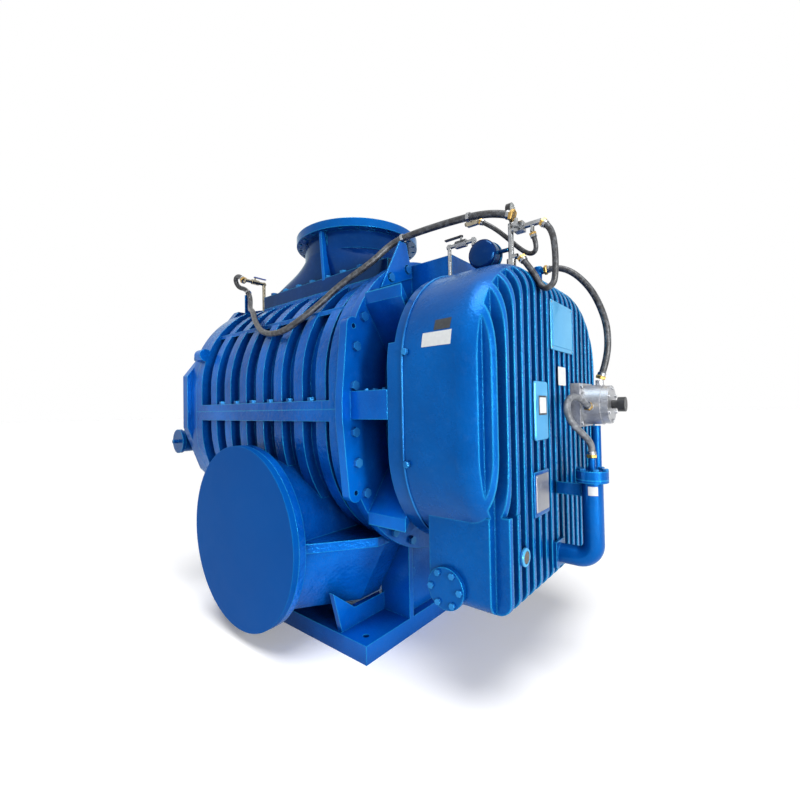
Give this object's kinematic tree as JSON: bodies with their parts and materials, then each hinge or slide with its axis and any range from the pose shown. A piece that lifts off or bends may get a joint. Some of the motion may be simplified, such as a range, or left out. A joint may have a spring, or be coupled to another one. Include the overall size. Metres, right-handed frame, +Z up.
{
  "type": "roots blower",
  "caption": "Large three-lobe roots blower with ribbed blue casing, top inlet, side outlet, finned gear cover, oil pump, filter and oil hoses.",
  "frame": {"origin": "on the floor, under the centre line of the inlet", "axes": "+Z up, +X along the rotors towards the timing gears, -Y towards the side outlet"},
  "size_m": [3.0283, 1.71, 2.497],
  "materials": {
    "blue_enamel": "gloss",
    "dark_steel": "satin",
    "machined_steel": "satin",
    "cast_iron": "satin",
    "black_rubber": "satin",
    "grey_rubber": "satin",
    "zinc": "gloss",
    "brass": "satin",
    "blue_lever": "satin",
    "black_paint": "satin",
    "aluminium": "satin",
    "clear_glass": "gloss"
  },
  "bodies": {
    "stator": {"base_frame": "blue_enamel", "lower_casing": "blue_enamel", "upper_casing": "blue_enamel", "inlet_hood": "blue_enamel", "inlet_flange": "blue_enamel", "gear_end_plate": "blue_enamel", "gear_case_wall": "blue_enamel", "gear_cover": "blue_enamel", "sump_hatch": "blue_enamel", "drive_end_plate": "blue_enamel", "drive_end_cover": "blue_enamel", "oil_cooler": "blue_enamel", "shaft_seal_housing": "blue_enamel", "front_hose_bracket": "blue_enamel", "back_hose_bracket": "blue_enamel", "oil_breather": "blue_enamel", "filter_bracket": "blue_enamel", "outlet_blank_plate": "blue_enamel", "riser_pipe": "blue_enamel", "gear_end_bolts": "dark_steel", "drive_end_bolts": "dark_steel", "hood_bolts": "dark_steel", "casing_split_bolts": "dark_steel", "small_bolts": "dark_steel", "bearing_outer_rings": "machined_steel", "bearing_rollers": "machined_steel", "drive_end_oil_hose": "black_rubber", "manifold_hose": "black_rubber", "top_valve_hose": "black_rubber", "pump_delivery_hose": "black_rubber", "filter_hose": "grey_rubber", "shaft_seal_rings": "grey_rubber", "hose_ferrules": "zinc", "hose_clips": "zinc", "manifold": "zinc", "drain_valve": "zinc", "top_valve": "brass", "back_valve": "brass", "oil_filter_lid": "brass", "gauge_case": "black_paint", "oil_filter_bowl": "black_paint", "oil_pump_adapter": "aluminium", "oil_pump_body": "aluminium", "oil_pump_cover": "aluminium", "gauge_glass": "clear_glass", "oil_sight_glass": "clear_glass"},
    "drive_train": {"drive_rotor": "cast_iron", "drive_shaft": "machined_steel", "drive_shaft_key": "machined_steel", "drive_timing_gear": "machined_steel", "drive_bearing_inner_rings": "machined_steel"},
    "driven_train": {"driven_rotor": "cast_iron", "driven_shaft": "machined_steel", "driven_timing_gear": "machined_steel", "driven_bearing_inner_rings": "machined_steel"},
    "relief_knob": {"relief_knob": "aluminium"},
    "back_lever": {"back_valve_lever": "blue_lever"},
    "top_lever": {"top_valve_lever": "blue_lever"},
    "drain_lever": {"drain_valve_lever": "black_paint"},
    "pointer": {"gauge_pointer": "black_paint"}
  },
  "joints": [
    {"name": "drive_rotor_spin", "type": "hinge", "parent": "stator", "child": "drive_train", "pos_m": [0, 0.26, 1.3], "axis": [1, 0, 0], "continuous": true},
    {"name": "driven_rotor_spin", "type": "hinge", "parent": "stator", "child": "driven_train", "pos_m": [0, -0.26, 1.3], "axis": [1, 0, 0], "continuous": true},
    {"name": "relief_knob_turn", "type": "hinge", "parent": "stator", "child": "relief_knob", "pos_m": [1.63, 0.26, 1.3], "axis": [1, 0, 0], "range_deg": [0, 300]},
    {"name": "back_valve_turn", "type": "hinge", "parent": "stator", "child": "back_lever", "pos_m": [-0.85, -0.31, 2.36], "axis": [0, 0, 1], "range_deg": [0, 90]},
    {"name": "top_valve_turn", "type": "hinge", "parent": "stator", "child": "top_lever", "pos_m": [1.096, -0.262, 2.28], "axis": [0, 0, 1], "range_deg": [-90, 0]},
    {"name": "drain_valve_turn", "type": "hinge", "parent": "stator", "child": "drain_lever", "pos_m": [1.041, -0.29, 2.175], "axis": [0, 0, 1], "range_deg": [0, 90]},
    {"name": "gauge_pointer_turn", "type": "hinge", "parent": "stator", "child": "pointer", "pos_m": [1.305, -0.265, 2.236], "axis": [1, 0, 0], "range_deg": [-270, 0]}
  ],
  "couplings": [
    {"joint": "driven_rotor_spin", "follows": "drive_rotor_spin", "ratio": -1}
  ]
}
